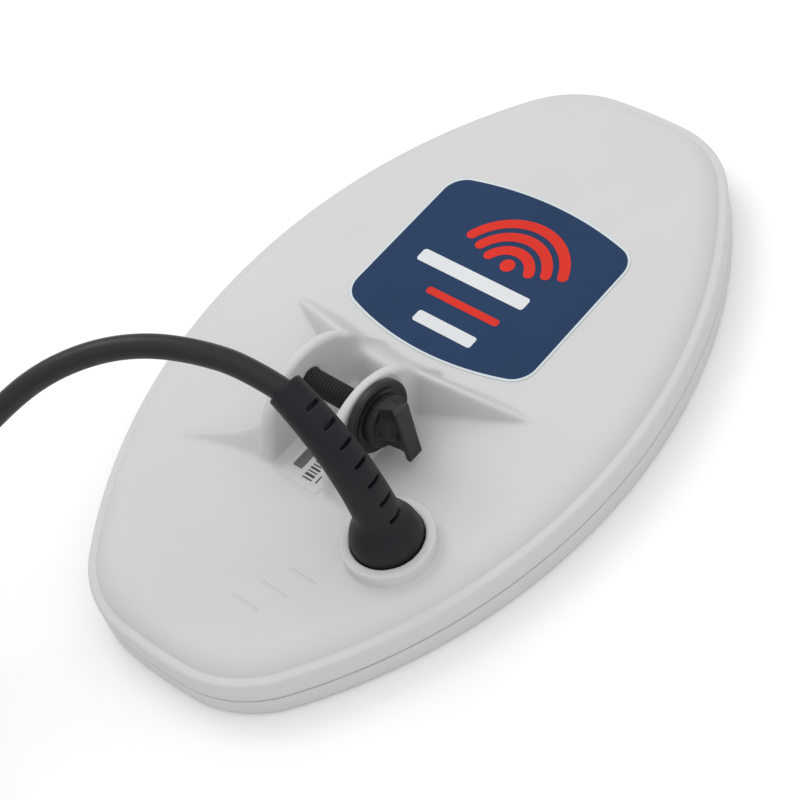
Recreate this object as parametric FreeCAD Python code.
"""Elliptical search coil of a metal detector, with its pivot bolt, wing nut, strain relief and lead.

Millimetres.  +X is the coil's right, +Y its toe, +Z is up.  The origin is the middle of the
underside, on the surface that the coil lies on.
"""
import FreeCAD, Part
import math
import os

V = FreeCAD.Vector
os.makedirs("parts", exist_ok=True)

# ---- driving dimensions -------------------------------------------------------------------
HALF_LENGTH = 127.0          # a 10 inch coil
HALF_WIDTH = 80.0
END_HALF_WIDTH = 30.8        # where a long side, drawn on, meets the toe or the heel
END_BOW = 2.2                # how far the toe bows out beyond that meeting point
CORNER_RADIUS = 38.9         # rounds off that meeting point

SKID_FLOOR = 2.0
SKID_WALL = 2.2
SKID_HEIGHT = 7.4
SKID_EDGE_RADIUS = 2.0
SEAM = 0.5                   # gap between the skid plate and the upper housing
NEST = 0.3                   # clearance between the skid plate and the lower housing
JOINT = 0.1                  # clearance between glued or stacked pieces inside

UPPER_WALL = 2.4
LIP_HEIGHT = 16.3            # top of the side wall
LIP_RADIUS = 1.3
TOP_HEIGHT = 20.5            # top face
CAP_THICKNESS = 2.5
SHOULDER = ((3.0, 0.0), (4.6, 0.48), (8.0, 0.85), (13.0, 1.0))   # inset, share of the crown's rise
CAVITY_SLOPE_INSET = 12.0

LOWER_WALL = 2.0
LOWER_FLOOR = 2.0
LOWER_TOP = 10.0

PIVOT_Y = -31.8              # pivot bolt's axis
PIVOT_HEIGHT = 36.0
BOLT_RADIUS = 3.9
BOLT_FIT = 0.06
BOLT_HEAD_RADIUS = 6.5
BOLT_HEAD_THICKNESS = 3.0
BOLT_HEAD_EDGE = 0.9
BOLT_TIP = 3.0               # from the nut's outer face back to the bolt's end

EAR_GAP = 22.0
EAR_THICKNESS = 4.0
EAR_RADIUS = 24.0
EAR_ABOVE_PIVOT = 11.3       # ear's top above the bolt's axis
EAR_RIM_RADIUS = 1.6

FRONT_TIP = (48.8, -1.5)     # where the ridges run out
REAR_TIP = (47.0, -64.0)
RIDGE_ROOT = 1.0             # how far fairings and ribs run down into the top
RIDGE_TIP_HEIGHT = 0.2       # a ridge's tip above the top face
FRONT_ROOT_INSET = 5.3       # toe ridge's root, in from the ear's rim
REAR_ROOT_INSET = 7.8
CREST_DROP = 10.5            # crest at the ear, below the ear's top
REAR_KINK = (9.5, -4.7, 5.2)     # rear ridge's bend: x and y from its root, height above the top
SADDLE_HEIGHT = 9.5          # cross wall between the ears, above the top face
SADDLE_STEPS = (-1.5, 1.2, 4.0, 14.0)    # its heel foot, crest and toe foot, from the ridge's root

NUT_CLEARANCE = 0.3
POCKET_DEPTH = 14.0          # room for the washer or the bolt's head, out from each ear
WASHER_RADIUS = 12.2
WASHER_THICKNESS = 3.0
HUB_RADIUS = 8.6
HUB_THICKNESS = 3.4
GRIP_THICKNESS = 5.8
GRIP_LENGTH = 23.0
GRIP_ROOT_LENGTH = 17.0
GRIP_REACH = 11.4            # grip beyond the washer
GRIP_TILT = 2.0             # degrees, grip's top leans to the toe
GRIP_CORNER = 2.0
CORE_WALL = 2.6              # nut's core round the bolt
WASHER_EDGE = 0.6

BOSS_X = 42.0
BOSS_Y = -60.0
BOSS_WALL = 3.1
BOSS_HEIGHT = 5.8            # above the top face
BOSS_FLOOR = 1.8             # bottom of the cup above the top face
BULB_RADIUS = 11.3
BULB_CENTRE = 27.0
NECK_RADIUS = 7.3
BOOT_END_RADIUS = 5.7
BOOT_BEND_START = 30.0
BOOT_BEND_RADIUS = 57.7
BOOT_BEND_ANGLE = 56.7       # degrees
BOOT_HEADING = 175.6         # degrees from +X, the way the boot leans
SOCKET_DEPTH = 3.0
SOCKET_CLEARANCE = 1.0

GLAND_RADIUS = 6.0
GLAND_FLANGE_RADIUS = 9.0
GLAND_FLANGE = 1.6
GLAND_NUT_FLATS = 18.0
GLAND_NUT_THICKNESS = 3.0
GLAND_BELOW_NUT = 2.0
SEAL_OUTER_RADIUS = 8.2
SEAL_THICKNESS = 1.0

WINDING_INSET = 10.0
WINDING_WIDTH = 4.0
WINDING_HEIGHT = 3.5
WINDING_OVERLAP = 8.0        # how far each D passes the middle line
WINDING_CORNER = 9.0
FORMER_INSET = 7.0
FORMER_THICKNESS = 2.0
FOAM_INSET = 13.5
FOIL_THICKNESS = 0.2

BOARD = (36.0, 30.0, 1.2)
BOARD_CENTRE = (33.0, -62.0)
BOARD_LIFT = 3.8             # standoff height above the lower housing's floor
BOARD_MARGIN = 3.0           # window round the board in the former and the foam
STANDOFF_RADIUS = 2.0
STANDOFF_INSET = 3.2
LEAD_RADIUS = 0.7            # cores of the lead
LEAD_CIRCLE = 3.0            # their middles, round the gland's axis
WIRE_RADIUS = 0.4            # leads of the windings
WIRE_PITCH = 4.0
CHIP = ((-13.0, -4.0), (8.0, 8.0, 1.6))      # corner from the board's middle, and size
BLOCK = ((9.0, -12.0), (4.0, 8.0, 3.6))
CAPACITOR = (2.0, 3.0)       # radius, height
CAPACITOR_PLACES = ((-12.0, 9.0), (-6.0, 9.0), (0.0, 9.0))

BADGE_WIDTH = 77.0
BADGE_Y = (1.9, 73.6)       # heel and toe edges at the middle
BADGE_CORNER_Y = (9.0, 67.6)
BADGE_CORNER_RADIUS = 9.0
BADGE_TRIM = 0.7
BADGE_THICKNESS = 0.3
LABEL = (16.0, 17.0, 0.15)
LABEL_CENTRE = (1.0, -49.5)

RIBS = ((25.4, -82.5), (21.0, -90.6), (16.6, -98.8))     # middles
RIB_SIZE = (11.0, 1.5, 0.7)

CABLE_RADIUS = 3.7
STRAP_THICKNESS = 1.0
STRAP_WIDTH = 12.0
STRAP_CLEARANCE = 0.1
COIL_MIDDLE = (-36.3, -243.0)
COIL_DIAMETERS = 11.5        # across the middle of the turns, in cable diameters

PLUG_AXIS_HEIGHT = 9.7
PLUG_BOOT_LENGTH = 24.0
PLUG_STEP = 1.2              # boot's end over the lead, and the body over the boot
PLUG_BODY_RADIUS = 8.6
PLUG_BODY_LENGTH = 18.0
PLUG_COLLAR_RADIUS = 9.5
PLUG_COLLAR_LENGTH = 13.0
PLUG_NOSE_RADIUS = 7.6
PLUG_NOSE_LENGTH = 14.5
PLUG_NOSE_WALL = 1.2
PLUG_INSERT_DEPTH = 6.0
PIN_RADIUS = 0.75
PIN_LENGTH = 6.0
PIN_CIRCLE = 3.6
PIN_COUNT = 5
COLLAR_FIT = 0.08

# ---- sizes that follow --------------------------------------------------------------------
def bow_radius(half_chord, bow):
    """Radius of an arc that rises by bow over twice half_chord."""
    return (half_chord ** 2 + bow ** 2) / (2 * bow)


SIDE_RADIUS = bow_radius(HALF_LENGTH - END_BOW, HALF_WIDTH - END_HALF_WIDTH)
END_RADIUS = bow_radius(END_HALF_WIDTH, END_BOW)
UPPER_BOTTOM = SKID_HEIGHT + SEAM
CAP_UNDERSIDE = TOP_HEIGHT - CAP_THICKNESS
LOWER_BOTTOM = SKID_FLOOR + JOINT
LOWER_INSET = max(SKID_WALL + NEST, UPPER_WALL + JOINT)
FLOOR_TOP = LOWER_BOTTOM + LOWER_FLOOR
FORMER_BOTTOM = FLOOR_TOP + JOINT
TRANSMIT_BOTTOM = FORMER_BOTTOM + FORMER_THICKNESS + JOINT
RECEIVE_BOTTOM = TRANSMIT_BOTTOM + WINDING_HEIGHT + JOINT
FOAM_BOTTOM = RECEIVE_BOTTOM + WINDING_HEIGHT + JOINT
FOIL_BOTTOM = CAP_UNDERSIDE - JOINT - FOIL_THICKNESS
BOARD_BOTTOM = FLOOR_TOP + BOARD_LIFT
BOARD_TOP = BOARD_BOTTOM + BOARD[2]
EAR_INNER = EAR_GAP / 2
EAR_OUTER = EAR_INNER + EAR_THICKNESS
EAR_TOP = PIVOT_HEIGHT + EAR_ABOVE_PIVOT
EAR_CENTRE_HEIGHT = EAR_TOP - EAR_RADIUS
CUP_FLOOR = TOP_HEIGHT + BOSS_FLOOR
BOSS_TOP = TOP_HEIGHT + BOSS_HEIGHT
BOSS_RADIUS = BULB_RADIUS + NEST + BOSS_WALL
GLAND_BOTTOM = CAP_UNDERSIDE - GLAND_NUT_THICKNESS - GLAND_BELOW_NUT
COIL_RADIUS = COIL_DIAMETERS * CABLE_RADIUS


def write(node, shape):
    """Writes one sub-part and says how large it is."""
    shape.exportStep("parts/%s.step" % node)
    box = shape.BoundBox
    state = "" if shape.isValid() else "INVALID"
    print("%-18s solids %2d  volume %9.1f  z %.2f..%.2f %s"
          % (node, len(shape.Solids), shape.Volume, box.ZMin, box.ZMax, state))


def box(low, high):
    size = [high[i] - low[i] for i in range(3)]
    return Part.makeBox(size[0], size[1], size[2], V(*low))


def cylinder(radius, low, high, direction=V(0, 0, 1)):
    """A cylinder from the point low, up to the distance high along direction."""
    return Part.makeCylinder(radius, high, V(*low), direction)


def ring(outer, inner, low, high):
    return cylinder(outer, low, high).cut(cylinder(inner, low, high))


# ---- outline ------------------------------------------------------------------------------
def corner_centre():
    """Centre of the corner arc, which touches the side arc and the end arc from inside."""
    side_x = HALF_WIDTH - SIDE_RADIUS
    end_y = HALF_LENGTH - END_RADIUS
    to_side = SIDE_RADIUS - CORNER_RADIUS
    to_end = END_RADIUS - CORNER_RADIUS
    apart = math.hypot(side_x, end_y)
    along = (to_side ** 2 - to_end ** 2 + apart ** 2) / (2 * apart)
    aside = math.sqrt(to_side ** 2 - along ** 2)
    ux, uy = -side_x / apart, end_y / apart
    return V(side_x + along * ux - aside * uy, along * uy + aside * ux, 0)


def outline_wire(inset, z):
    """The outline moved in by inset: eight arcs, all touching, the same in each quarter."""
    corner = corner_centre()
    side = V(HALF_WIDTH - SIDE_RADIUS, 0, 0)
    end = V(0, HALF_LENGTH - END_RADIUS, 0)
    radius = CORNER_RADIUS - inset
    on_side = corner + (corner - side).normalize() * radius
    on_end = corner + (corner - end).normalize() * radius
    between = (corner - side).normalize() + (corner - end).normalize()
    on_corner = corner + between.normalize() * radius
    right, toe = HALF_WIDTH - inset, HALF_LENGTH - inset

    def at(point, sx, sy):
        return V(sx * point.x, sy * point.y, z)

    arcs = [
        Part.Arc(at(on_side, 1, -1), V(right, 0, z), at(on_side, 1, 1)),
        Part.Arc(at(on_side, 1, 1), at(on_corner, 1, 1), at(on_end, 1, 1)),
        Part.Arc(at(on_end, 1, 1), V(0, toe, z), at(on_end, -1, 1)),
        Part.Arc(at(on_end, -1, 1), at(on_corner, -1, 1), at(on_side, -1, 1)),
        Part.Arc(at(on_side, -1, 1), V(-right, 0, z), at(on_side, -1, -1)),
        Part.Arc(at(on_side, -1, -1), at(on_corner, -1, -1), at(on_end, -1, -1)),
        Part.Arc(at(on_end, -1, -1), V(0, -toe, z), at(on_end, 1, -1)),
        Part.Arc(at(on_end, 1, -1), at(on_corner, 1, -1), at(on_side, 1, -1)),
    ]
    return Part.Wire([arc.toShape() for arc in arcs])


def slab(inset, low, high):
    """A flat piece with the outline's shape."""
    return Part.Face(outline_wire(inset, low)).extrude(V(0, 0, high - low))


def stepped(levels):
    """A piece whose inset changes evenly from one level to the next: (inset, z) pairs."""
    return Part.makeLoft([outline_wire(inset, z) for inset, z in levels], True, True)


def edges_at(shape, z):
    """The edges that lie at the height z."""
    heights = [(e, e.BoundBox.ZMin - z, e.BoundBox.ZMax - z) for e in shape.Edges]
    return [e for e, low, high in heights if max(abs(low), abs(high)) < 1e-4]


# ---- shells -------------------------------------------------------------------------------
def skid_plate():
    """Push-fit wear cover: a shallow tray that wraps the lower housing."""
    tray = slab(0, 0, SKID_HEIGHT)
    tray = tray.makeFillet(SKID_EDGE_RADIUS, edges_at(tray, 0))
    return tray.cut(slab(SKID_WALL, SKID_FLOOR, SKID_HEIGHT + 1))


def board_corners():
    half_x = BOARD[0] / 2 - STANDOFF_INSET
    half_y = BOARD[1] / 2 - STANDOFF_INSET
    x, y = BOARD_CENTRE
    return [(x + sx * half_x, y + sy * half_y) for sx in (-1, 1) for sy in (-1, 1)]


def lower_housing():
    """Tray that holds the windings, with four standoffs under the board."""
    shape = slab(LOWER_INSET, LOWER_BOTTOM, LOWER_TOP)
    shape = shape.cut(slab(LOWER_INSET + LOWER_WALL, FLOOR_TOP, LOWER_TOP + 1))
    foot = LOWER_FLOOR / 2
    posts = [cylinder(STANDOFF_RADIUS, (x, y, FLOOR_TOP - foot), BOARD_LIFT + foot)
             for x, y in board_corners()]
    return shape.fuse(posts).removeSplitter()


def ear(side):
    """One pivot ear: a plate with a round top, rounded at its rim."""
    low = TOP_HEIGHT - RIDGE_ROOT
    x = EAR_INNER if side > 0 else -EAR_OUTER
    disc = cylinder(EAR_RADIUS, (x, PIVOT_Y, EAR_CENTRE_HEIGHT), EAR_THICKNESS, V(1, 0, 0))
    rims = [e for e in disc.Edges if isinstance(e.Curve, Part.Circle)]
    disc = disc.makeFillet(EAR_RIM_RADIUS, rims)
    near = (x - 1, PIVOT_Y - EAR_RADIUS - 1, low)
    far = (x + EAR_THICKNESS + 1, PIVOT_Y + EAR_RADIUS + 1, EAR_TOP + 1)
    return disc.common(box(near, far))


def section(x, y, heading, crest, top_width, foot_width):
    """Upright trapezium across a ridge that runs along heading (degrees)."""
    across = V(-math.sin(math.radians(heading)), math.cos(math.radians(heading)), 0)
    foot = TOP_HEIGHT - RIDGE_ROOT
    low, high = V(x, y, foot), V(x, y, crest)
    points = [low - across * foot_width / 2, low + across * foot_width / 2,
              high + across * top_width / 2, high - across * top_width / 2]
    return Part.makePolygon(points + [points[0]])


def ridge(side, stations):
    """A fairing wall through stations of (x, y, crest, top width, foot width) on the right side."""
    first, last = stations[0], stations[-1]
    heading = math.degrees(math.atan2(last[1] - first[1], side * (last[0] - first[0])))
    wires = [section(side * x, y, heading, crest, top, foot) for x, y, crest, top, foot in stations]
    return Part.makeLoft(wires, True, True)


def fairings():
    """Four ridges from the ears down to the top face, and the cross wall between the ears."""
    tip = TOP_HEIGHT + RIDGE_TIP_HEIGHT
    crest = EAR_TOP - CREST_DROP
    root_x = EAR_INNER + EAR_THICKNESS / 4
    front_y = PIVOT_Y + EAR_RADIUS - FRONT_ROOT_INSET
    rear_y = PIVOT_Y - EAR_RADIUS + REAR_ROOT_INSET
    kink_x, kink_y, kink_height = REAR_KINK
    front = [(root_x, front_y, crest, 2.6, 7.0),
             (FRONT_TIP[0], FRONT_TIP[1], tip, 0.8, 1.6)]
    rear = [(root_x, rear_y, crest, 2.4, 6.0),
            (root_x + kink_x, rear_y + kink_y, TOP_HEIGHT + kink_height, 2.0, 5.0),
            (REAR_TIP[0], REAR_TIP[1], tip, 0.8, 1.6)]
    made = [ridge(side, stations) for side in (-1, 1) for stations in (front, rear)]
    low = TOP_HEIGHT - RIDGE_ROOT
    saddle = TOP_HEIGHT + SADDLE_HEIGHT
    start = -EAR_INNER - 1
    heights = (low, saddle, saddle, low)
    profile = [V(start, front_y + step, z) for step, z in zip(SADDLE_STEPS, heights)]
    wall = Part.Face(Part.makePolygon(profile + [profile[0]])).extrude(V(EAR_GAP + 2, 0, 0))
    return made + [wall]


def ribs():
    """Three low ribs by the heel."""
    length, width, height = RIB_SIZE
    made = []
    for x, y in RIBS:
        near = (x - length / 2, y - width / 2, TOP_HEIGHT - RIDGE_ROOT)
        bar = box(near, (near[0] + length, near[1] + width, TOP_HEIGHT + height))
        upright = [e for e in bar.Edges if e.BoundBox.ZLength > height]
        made.append(bar.makeFillet(width * 0.45, upright))
    return made


def upper_housing():
    """Top shell with the pivot ears, their fairings and the cable boss in one moulding."""
    skirt = slab(0, UPPER_BOTTOM, LIP_HEIGHT)
    skirt = skirt.makeFillet(LIP_RADIUS, edges_at(skirt, LIP_HEIGHT))
    rise = TOP_HEIGHT - LIP_HEIGHT
    levels = [(inset, LIP_HEIGHT + share * rise) for inset, share in SHOULDER]
    crown = stepped([(SHOULDER[0][0], LIP_HEIGHT - 1)] + levels)
    boss = cylinder(BOSS_RADIUS, (BOSS_X, BOSS_Y, TOP_HEIGHT - RIDGE_ROOT), BOSS_HEIGHT + RIDGE_ROOT)
    boss = boss.makeFillet(1.0, edges_at(boss, BOSS_TOP))
    shape = skirt.fuse([crown, ear(-1), ear(1), boss] + fairings() + ribs()).removeSplitter()
    hollow = slab(UPPER_WALL, UPPER_BOTTOM - 1, LIP_HEIGHT - UPPER_WALL)
    vault = stepped([(UPPER_WALL, LIP_HEIGHT - UPPER_WALL - 1), (UPPER_WALL, LIP_HEIGHT - UPPER_WALL),
                     (CAVITY_SLOPE_INSET, CAP_UNDERSIDE)])
    cup = cylinder(BULB_RADIUS + NEST, (BOSS_X, BOSS_Y, CUP_FLOOR), EAR_TOP)
    seal_low = (BOSS_X, BOSS_Y, CUP_FLOOR - SEAL_THICKNESS)
    groove = ring(SEAL_OUTER_RADIUS + JOINT, GLAND_RADIUS + JOINT, seal_low, SEAL_THICKNESS + 1)
    gland_hole = cylinder(GLAND_RADIUS + JOINT, (BOSS_X, BOSS_Y, 0), EAR_TOP)
    axis = V(1, 0, 0)
    pocket_start = -EAR_OUTER - POCKET_DEPTH
    pivot = cylinder(BOLT_RADIUS + BOLT_FIT, (pocket_start, PIVOT_Y, PIVOT_HEIGHT),
                     2 * (EAR_OUTER + POCKET_DEPTH), axis)
    pockets = [cylinder(WASHER_RADIUS + NUT_CLEARANCE, (x, PIVOT_Y, PIVOT_HEIGHT), POCKET_DEPTH, axis)
               for x in (EAR_OUTER, pocket_start)]
    return shape.cut([hollow, vault, cup, groove, gland_hole, pivot] + pockets)


# ---- inside -------------------------------------------------------------------------------
def window(low, high):
    half_x = BOARD[0] / 2 + BOARD_MARGIN
    half_y = BOARD[1] / 2 + BOARD_MARGIN
    x, y = BOARD_CENTRE
    return box((x - half_x, y - half_y, low), (x + half_x, y + half_y, high))


def winding(side, bottom):
    """One D-shaped bundle of turns: a curved run near the wall and a straight run past the middle."""
    top = bottom + WINDING_HEIGHT

    def half(inset, past, low, high, corner):
        limit = box((-past, -HALF_LENGTH, low), (HALF_WIDTH, HALF_LENGTH, high))
        shape = slab(inset, low, high).common(limit)
        upright = [e for e in shape.Edges if e.BoundBox.ZLength > 0.5 * (high - low)]
        sharp = [e for e in upright if e.BoundBox.XLength < 1e-4 and e.BoundBox.XMax < 1 - past]
        return shape.makeFillet(corner, sharp)

    outer = half(WINDING_INSET, WINDING_OVERLAP, bottom, top, WINDING_CORNER)
    inner = half(WINDING_INSET + WINDING_WIDTH, WINDING_OVERLAP - WINDING_WIDTH, bottom - 1, top + 1,
                 WINDING_CORNER - WINDING_WIDTH)
    shape = outer.cut(inner)
    return shape if side > 0 else shape.mirror(V(0, 0, 0), V(1, 0, 0))


def on_board(place, height):
    """A place on top of the board, from the board's middle."""
    return (BOARD_CENTRE[0] + place[0], BOARD_CENTRE[1] + place[1], BOARD_TOP + height)


def inner_parts():
    """Former, windings, foam, foil, and the board with what is on it."""
    former = slab(FORMER_INSET, FORMER_BOTTOM, FORMER_BOTTOM + FORMER_THICKNESS)
    write("winding_former", former.cut(window(0, TOP_HEIGHT)))
    write("transmit_winding", winding(-1, TRANSMIT_BOTTOM))
    write("receive_winding", winding(1, RECEIVE_BOTTOM))
    foam = slab(FOAM_INSET, FOAM_BOTTOM, FOIL_BOTTOM - JOINT)
    write("foam_core", foam.cut(window(0, TOP_HEIGHT)))
    nut_room = cylinder(GLAND_NUT_FLATS * 0.7, (BOSS_X, BOSS_Y, 0), TOP_HEIGHT)
    write("shield_foil", slab(FOAM_INSET, FOIL_BOTTOM, FOIL_BOTTOM + FOIL_THICKNESS).cut(nut_room))

    half_x, half_y = BOARD[0] / 2, BOARD[1] / 2
    write("circuit_board", box(on_board((-half_x, -half_y), -BOARD[2]), on_board((half_x, half_y), 0)))
    for node, (corner, size) in (("preamp_chip", CHIP), ("terminal_block", BLOCK)):
        far = (corner[0] + size[0], corner[1] + size[1])
        write(node, box(on_board(corner, 0), on_board(far, size[2])))
    radius, height = CAPACITOR
    cans = [cylinder(radius, on_board(place, 0), height) for place in CAPACITOR_PLACES]
    write("capacitors", Part.makeCompound(cans))


def side_reach(inset, y):
    """X of the outline's right side, moved in by inset, at y."""
    return HALF_WIDTH - SIDE_RADIUS + math.sqrt((SIDE_RADIUS - inset) ** 2 - y ** 2)


def lead_wires():
    """Four cores from the gland to the board, and a pair of leads from each winding."""
    wires = []
    for i in range(4):
        angle = math.radians(45 + 90 * i)
        x = BOSS_X + LEAD_CIRCLE * math.cos(angle)
        y = BOSS_Y + LEAD_CIRCLE * math.sin(angle)
        wires.append(cylinder(LEAD_RADIUS, (x, y, BOARD_TOP), GLAND_BOTTOM - BOARD_TOP))
    write("cable_cores", Part.makeCompound(wires))

    axis = V(1, 0, 0)
    board_left = BOARD_CENTRE[0] - BOARD[0] / 2
    height = (BOARD_BOTTOM + BOARD_TOP) / 2
    pair = [cylinder(WIRE_RADIUS, (WINDING_OVERLAP, BOARD_CENTRE[1] + dy, height),
                     board_left - WINDING_OVERLAP, axis)
            for dy in (-WIRE_PITCH / 2, WIRE_PITCH / 2)]
    write("transmit_leads", Part.makeCompound(pair))

    (left, near), (width, depth, _) = BLOCK
    block_right, block_y, _ = on_board((left + width, near + depth / 2), 0)
    height = RECEIVE_BOTTOM + WINDING_HEIGHT / 2
    pair = []
    for dy in (-WIRE_PITCH / 2, WIRE_PITCH / 2):
        y = block_y + dy
        reach = side_reach(WINDING_INSET + WINDING_WIDTH, y - WIRE_RADIUS) - block_right
        pair.append(cylinder(WIRE_RADIUS, (block_right, y, height), reach, axis))
    write("receive_leads", Part.makeCompound(pair))


# ---- gland, boot and pivot hardware -------------------------------------------------------
def gland_parts():
    """Gland with its flange in the boss's cup, its nut under the cap, and the seal between."""
    stem = cylinder(GLAND_RADIUS, (BOSS_X, BOSS_Y, GLAND_BOTTOM), CUP_FLOOR + JOINT - GLAND_BOTTOM)
    flange = cylinder(GLAND_FLANGE_RADIUS, (BOSS_X, BOSS_Y, CUP_FLOOR + JOINT), GLAND_FLANGE)
    write("gland_body", stem.fuse(flange).removeSplitter())
    nut_low = CAP_UNDERSIDE - JOINT - GLAND_NUT_THICKNESS
    reach = GLAND_NUT_FLATS / 2 / math.cos(math.radians(30))
    angles = [math.radians(60 * i) for i in range(7)]
    points = [V(BOSS_X + reach * math.cos(a), BOSS_Y + reach * math.sin(a), nut_low) for a in angles]
    nut = Part.Face(Part.makePolygon(points)).extrude(V(0, 0, GLAND_NUT_THICKNESS))
    write("gland_nut", nut.cut(cylinder(GLAND_RADIUS + JOINT, (BOSS_X, BOSS_Y, 0), TOP_HEIGHT)))
    seal_low = (BOSS_X, BOSS_Y, CUP_FLOOR - SEAL_THICKNESS)
    write("gland_seal", ring(SEAL_OUTER_RADIUS, GLAND_RADIUS + 2 * JOINT, seal_low, SEAL_THICKNESS))


def boot_point(share):
    """Point and direction on the boot's middle line, share from 0 at its foot to 1 at its end."""
    angle = math.radians(BOOT_BEND_ANGLE) * share
    out = BOOT_BEND_RADIUS * (1 - math.cos(angle))
    heading = math.radians(BOOT_HEADING)
    away = V(math.cos(heading), math.sin(heading), 0)
    point = V(BOSS_X, BOSS_Y, BOOT_BEND_START + BOOT_BEND_RADIUS * math.sin(angle)) + away * out
    return point, away * math.sin(angle) + V(0, 0, math.cos(angle))


def strain_relief():
    """Moulded rubber boot: a domed foot in the boss and a bent, tapered neck with a socket end."""
    low = CUP_FLOOR + JOINT
    foot = cylinder(BULB_RADIUS, (BOSS_X, BOSS_Y, low), BULB_CENTRE - low)
    dome = Part.makeSphere(BULB_RADIUS, V(BOSS_X, BOSS_Y, BULB_CENTRE), V(0, 0, 1), 0, 90)
    wires = []
    count = 9
    for i in range(count):
        share = i / (count - 1)
        point, along = boot_point(share)
        radius = NECK_RADIUS + (BOOT_END_RADIUS - NECK_RADIUS) * share
        wires.append(Part.Wire(Part.makeCircle(radius, point, along)))
    neck = Part.makeLoft(wires, True, False)
    end, along = boot_point(1)
    socket_start = end - along * SOCKET_DEPTH
    socket = Part.makeCylinder(CABLE_RADIUS + SOCKET_CLEARANCE, SOCKET_DEPTH + 1, socket_start, along)
    recess = cylinder(GLAND_FLANGE_RADIUS + NEST, (BOSS_X, BOSS_Y, low - 1), GLAND_FLANGE + 1 + NEST)
    return foot.fuse([dome, neck]).cut([socket, recess]).removeSplitter()


def pivot_parts():
    """Bolt, washer and wing nut on the pivot's axis, which runs along X."""
    axis = V(1, 0, 0)
    washer_x = EAR_OUTER + NUT_CLEARANCE
    nut_x = washer_x + WASHER_THICKNESS
    grip_x = nut_x + GRIP_REACH
    head_x = -EAR_OUTER - NUT_CLEARANCE - BOLT_HEAD_THICKNESS
    head = cylinder(BOLT_HEAD_RADIUS, (head_x, PIVOT_Y, PIVOT_HEIGHT), BOLT_HEAD_THICKNESS, axis)
    head = head.makeFillet(BOLT_HEAD_EDGE, [e for e in head.Edges if abs(e.BoundBox.XMax - head_x) < 1e-4])
    shank = cylinder(BOLT_RADIUS, (head_x + 1, PIVOT_Y, PIVOT_HEIGHT), grip_x - BOLT_TIP - head_x - 1, axis)
    write("pivot_bolt", head.fuse(shank).removeSplitter())

    bore = cylinder(BOLT_RADIUS + BOLT_FIT, (0, PIVOT_Y, PIVOT_HEIGHT), grip_x + 9, axis)
    washer = cylinder(WASHER_RADIUS, (washer_x, PIVOT_Y, PIVOT_HEIGHT), WASHER_THICKNESS, axis)
    rims = [e for e in washer.Edges if isinstance(e.Curve, Part.Circle)]
    write("nut_washer", washer.makeFillet(WASHER_EDGE, rims).cut(bore))

    hub = cylinder(HUB_RADIUS, (nut_x + JOINT, PIVOT_Y, PIVOT_HEIGHT), HUB_THICKNESS, axis)
    start = nut_x + JOINT
    corners = [(start, -GRIP_ROOT_LENGTH / 2), (grip_x, -GRIP_LENGTH / 2),
               (grip_x, GRIP_LENGTH / 2), (start, GRIP_ROOT_LENGTH / 2)]
    profile = [V(x, PIVOT_Y - GRIP_THICKNESS / 2, PIVOT_HEIGHT + up) for x, up in corners]
    grip = Part.Face(Part.makePolygon(profile + [profile[0]])).extrude(V(0, GRIP_THICKNESS, 0))
    core = cylinder(BOLT_RADIUS + CORE_WALL, (start, PIVOT_Y, PIVOT_HEIGHT), grip_x - start, axis)
    across = [e for e in grip.Edges if e.BoundBox.YLength > 1]
    ends = [e for e in across if e.BoundBox.XMax > grip_x - 0.01]
    grip = grip.makeFillet(GRIP_CORNER, ends)
    blind = cylinder(BOLT_RADIUS + BOLT_FIT, (0, PIVOT_Y, PIVOT_HEIGHT), grip_x - BOLT_TIP + NUT_CLEARANCE, axis)
    nut = hub.fuse([grip, core]).cut(blind).removeSplitter()
    nut.rotate(V(0, PIVOT_Y, PIVOT_HEIGHT), axis, -GRIP_TILT)
    write("wing_nut", nut)


# ---- badge and label ----------------------------------------------------------------------
def badge_face(inset, z):
    """Badge outline: straight sides, bowed toe and heel edges, rounded corners."""
    half = BADGE_WIDTH / 2 - inset
    low, high = BADGE_CORNER_Y[0] + inset, BADGE_CORNER_Y[1] - inset
    bow_low, bow_high = BADGE_Y[0] + inset, BADGE_Y[1] - inset
    edges = [
        Part.LineSegment(V(half, low, z), V(half, high, z)),
        Part.Arc(V(half, high, z), V(0, bow_high, z), V(-half, high, z)),
        Part.LineSegment(V(-half, high, z), V(-half, low, z)),
        Part.Arc(V(-half, low, z), V(0, bow_low, z), V(half, low, z)),
    ]
    return Part.Face(Part.Wire([e.toShape() for e in edges]))


def badge_plate(inset, low, high):
    plate = badge_face(inset, low).extrude(V(0, 0, high - low))
    upright = [e for e in plate.Edges if max(e.BoundBox.XLength, e.BoundBox.YLength) < 1e-4]
    return plate.makeFillet(BADGE_CORNER_RADIUS - inset, upright)


def badge_parts():
    """Printed badge with a pale border, and a small serial label."""
    top = TOP_HEIGHT + BADGE_THICKNESS
    inner = badge_plate(BADGE_TRIM, TOP_HEIGHT - 1, top + 1)
    write("badge_trim", badge_plate(0, TOP_HEIGHT, top).cut(inner))
    write("badge_plate", badge_plate(BADGE_TRIM, TOP_HEIGHT, top))
    length, width, thickness = LABEL
    near = (LABEL_CENTRE[0] - length / 2, LABEL_CENTRE[1] - width / 2, TOP_HEIGHT)
    far = (near[0] + length, near[1] + width, TOP_HEIGHT + thickness)
    write("serial_label", box(near, far))


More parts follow.
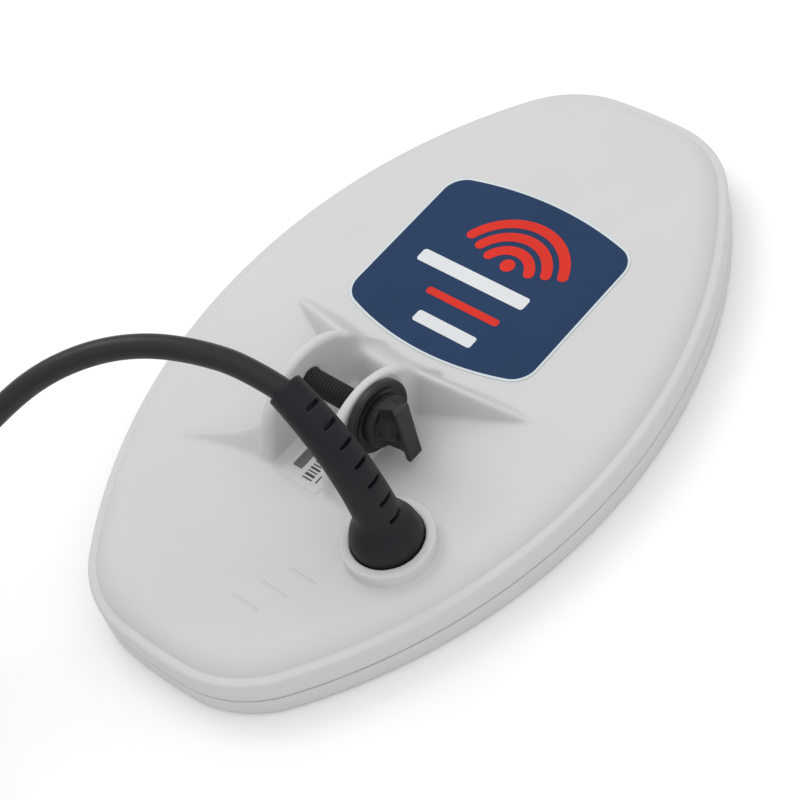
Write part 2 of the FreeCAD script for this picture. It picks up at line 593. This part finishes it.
# ---- lead ---------------------------------------------------------------------------------
def cord(points):
    """A round tube along straight runs that are joined by tangent arcs."""
    runs = [(points[i + 1] - points[i]).Length for i in range(len(points) - 1)]
    edges, radii, here, length = [], [], points[0], 0.0
    for i in range(1, len(points) - 1):
        before = (points[i] - points[i - 1]).normalize()
        after = (points[i + 1] - points[i]).normalize()
        turn = before.getAngle(after)
        reach = 0.45 * min(runs[i - 1], runs[i])
        radius = reach / math.tan(turn / 2)
        start, stop = points[i] - before * reach, points[i] + after * reach
        middle_way = (after - before).normalize()
        centre = points[i] + middle_way * (radius / math.cos(turn / 2))
        edges.append(Part.LineSegment(here, start).toShape())
        edges.append(Part.Arc(start, centre - middle_way * radius, stop).toShape())
        length += (start - here).Length + radius * turn
        radii.append(radius)
        here = stop
    edges.append(Part.LineSegment(here, points[-1]).toShape())
    length += (points[-1] - here).Length
    path = Part.Wire(edges)
    profile = Part.Wire(Part.makeCircle(CABLE_RADIUS, points[0], points[1] - points[0]))
    tube = path.makePipeShell([profile], True, False)
    area = math.pi * CABLE_RADIUS ** 2
    print("cord: length %.1f, smallest radius %.1f, volume / (section x length) %.5f"
          % (length, min(radii), tube.Volume / (area * length)))
    print("cord radii", [round(radius, 1) for radius in radii])
    print("cord runs", [round(run, 1) for run in runs])
    return tube


def lead_route():
    """From the socket of the boot, over in an arch and down to the coil of spare length."""
    end, along = boot_point(1)
    start = end - along * SOCKET_DEPTH
    chosen = [
        (6.0, -60.1, 83.4), (-8.1, -65.7, 88.1), (-21.5, -73.2, 90.7), (-34.0, -83.3, 90.1),
        (-45.1, -96.6, 86.4), (-53.7, -111.6, 78.3), (-61.8, -130.5, 66.9), (-68.2, -149.8, 52.8),
        (-73.6, -169.5, 37.8), (-77.8, -190.0, 23.6), (-80.8, -211.5, 12.2), (-82.4, -234.0, 5.6),
    ]
    return [start] + [V(*point) for point in chosen]


def tail_route():
    """From the top of the coil, at its heel side, to the plug."""
    x = COIL_MIDDLE[0]
    y = COIL_MIDDLE[1] - COIL_RADIUS - CABLE_RADIUS
    top_turn = STRAP_THICKNESS + 3 * CABLE_RADIUS
    return [V(x + 2, y, top_turn), V(x + 16, y - 0.3, top_turn - 0.5),
            V(x + 30, y - 1.0, PLUG_AXIS_HEIGHT), V(x + 44, y - 1.0, PLUG_AXIS_HEIGHT)]


def spare_coil():
    """Outer shape of the spare turns, and the strap round them."""
    low = (COIL_MIDDLE[0], COIL_MIDDLE[1], STRAP_THICKNESS)
    height = 4 * CABLE_RADIUS
    outer, inner = COIL_RADIUS + 2 * CABLE_RADIUS, COIL_RADIUS - 2 * CABLE_RADIUS
    write("cable_coil", ring(outer, inner, low, height))
    x, y = COIL_MIDDLE
    half = STRAP_WIDTH / 2
    sag = inner - math.sqrt(inner ** 2 - half ** 2)
    near, far = inner - sag - STRAP_CLEARANCE, outer + STRAP_CLEARANCE
    top = STRAP_THICKNESS + height + STRAP_CLEARANCE
    loop = box((x - half, y + near - STRAP_THICKNESS, 0),
               (x + half, y + far + STRAP_THICKNESS, top + STRAP_THICKNESS))
    inside = box((x - half - 1, y + near, STRAP_THICKNESS), (x + half + 1, y + far, top))
    write("cable_strap", loop.cut(inside))


def plug_parts():
    """Five-pin locking plug that lies beside the coil, its axis along X."""
    start = tail_route()[-1]
    along = V(1, 0, 0)
    cone = Part.makeCone(CABLE_RADIUS + PLUG_STEP, PLUG_BODY_RADIUS - PLUG_STEP, PLUG_BOOT_LENGTH,
                         start, along)
    write("plug_boot", cone)
    body_start = start + along * PLUG_BOOT_LENGTH
    nose_start = body_start + along * PLUG_BODY_LENGTH
    body = Part.makeCylinder(PLUG_BODY_RADIUS, PLUG_BODY_LENGTH, body_start, along)
    nose = Part.makeCylinder(PLUG_NOSE_RADIUS, PLUG_NOSE_LENGTH, nose_start, along)
    cavity_radius = PLUG_NOSE_RADIUS - PLUG_NOSE_WALL
    cavity = Part.makeCylinder(cavity_radius, PLUG_NOSE_LENGTH + 1, nose_start, along)
    write("plug_body", body.fuse(nose).removeSplitter().cut(cavity))
    insert = Part.makeCylinder(cavity_radius - COLLAR_FIT, PLUG_INSERT_DEPTH, nose_start, along)
    write("plug_insert", insert)
    pins = []
    for i in range(PIN_COUNT):
        angle = math.radians(360 / PIN_COUNT * i + 90)
        at = nose_start + V(PLUG_INSERT_DEPTH, PIN_CIRCLE * math.cos(angle), PIN_CIRCLE * math.sin(angle))
        pins.append(Part.makeCylinder(PIN_RADIUS, PIN_LENGTH, at, along))
    write("plug_pins", Part.makeCompound(pins))
    collar_start = nose_start + along * NEST
    collar = Part.makeCylinder(PLUG_COLLAR_RADIUS, PLUG_COLLAR_LENGTH, collar_start, along)
    bore = Part.makeCylinder(PLUG_NOSE_RADIUS + COLLAR_FIT, PLUG_COLLAR_LENGTH, collar_start, along)
    write("plug_collar", collar.cut(bore))
    print("plug axis", start, "collar from", collar_start)


def main():
    write("skid_plate", skid_plate())
    write("lower_housing", lower_housing())
    write("upper_housing", upper_housing())
    inner_parts()
    lead_wires()
    gland_parts()
    write("strain_relief", strain_relief())
    pivot_parts()
    badge_parts()
    write("coil_cable", cord(lead_route()))
    spare_coil()
    write("cable_tail", cord(tail_route()))
    plug_parts()


main()
